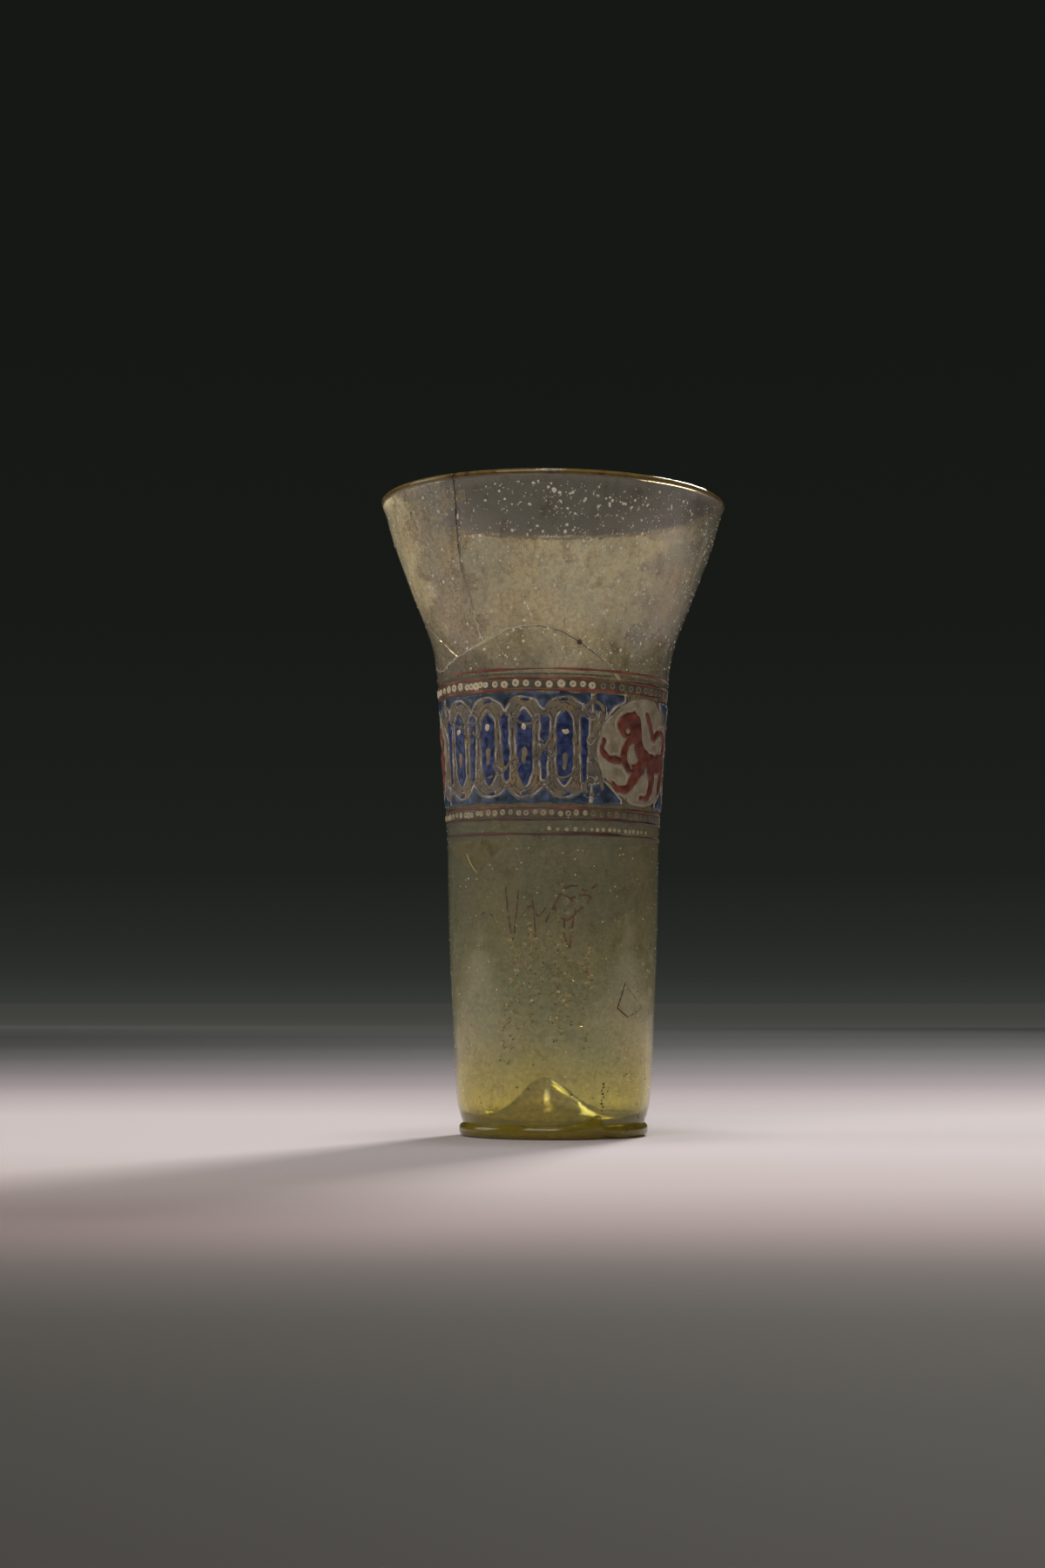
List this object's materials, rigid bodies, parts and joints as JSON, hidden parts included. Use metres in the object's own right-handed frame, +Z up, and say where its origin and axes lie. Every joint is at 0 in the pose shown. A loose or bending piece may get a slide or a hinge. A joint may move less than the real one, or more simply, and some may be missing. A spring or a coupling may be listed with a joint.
{
  "type": "glass beaker",
  "caption": "Tall blown glass beaker with a flared mouth, a pushed-in base, an applied foot trail and an enamelled and gilded band.",
  "frame": {"origin": "on the axis of the beaker, in the plane that its foot trail stands on", "axes": "+Z up along the axis to the mouth; -Y is the front, with the roundel to the right of it; +X is right, the side that the mouth leans down to"},
  "size_m": [0.0938, 0.0938, 0.1715],
  "materials": {
    "straw_glass": "blown, straw-tinted, bubbled and lightly weathered",
    "olive_glass": "thick olive-brown thread, glossy",
    "aged_adhesive": "yellowed filling in the old joins",
    "worn_gilding": "gilding worn down to its brownish ground",
    "blue_enamel": "opaque cobalt enamel, glossy and pitted",
    "white_enamel": "off-white enamel, worn",
    "red_enamel": "iron-red enamel laid on with a brush"
  },
  "bodies": {
    "root": {"blown_body": "straw_glass", "rim_shard": "straw_glass", "shoulder_shard": "straw_glass", "join_adhesive": "aged_adhesive", "foot_trail": "olive_glass", "red_line_1": "red_enamel", "red_line_2": "red_enamel", "red_line_3": "red_enamel", "red_line_4": "red_enamel", "red_line_5": "red_enamel", "red_line_6": "red_enamel", "bead_band_upper": "white_enamel", "bead_band_lower": "white_enamel", "roundel_1": "white_enamel", "beast_1": "red_enamel", "beast_1_paw": "red_enamel", "roundel_2": "white_enamel", "beast_2": "red_enamel", "beast_2_paw": "red_enamel", "gilt_strapwork_front": "worn_gilding", "blue_border_top_front": "blue_enamel", "blue_border_bottom_front": "blue_enamel", "blue_panel_front_1": "blue_enamel", "blue_panel_front_2": "blue_enamel", "blue_panel_front_3": "blue_enamel", "blue_panel_front_4": "blue_enamel", "blue_slot_front_1": "blue_enamel", "blue_slot_front_2": "blue_enamel", "blue_slot_front_3": "blue_enamel", "blue_slot_front_4": "blue_enamel", "blue_slot_front_5": "blue_enamel", "gilt_strapwork_back": "worn_gilding", "blue_border_top_back": "blue_enamel", "blue_border_bottom_back": "blue_enamel", "blue_panel_back_1": "blue_enamel", "blue_panel_back_2": "blue_enamel", "blue_panel_back_3": "blue_enamel", "blue_panel_back_4": "blue_enamel", "blue_panel_back_5": "blue_enamel", "blue_panel_back_6": "blue_enamel", "blue_slot_back_1": "blue_enamel", "blue_slot_back_2": "blue_enamel", "blue_slot_back_3": "blue_enamel", "blue_slot_back_4": "blue_enamel", "blue_slot_back_5": "blue_enamel", "blue_slot_back_6": "blue_enamel", "blue_slot_back_7": "blue_enamel"}
  },
  "joints": []
}
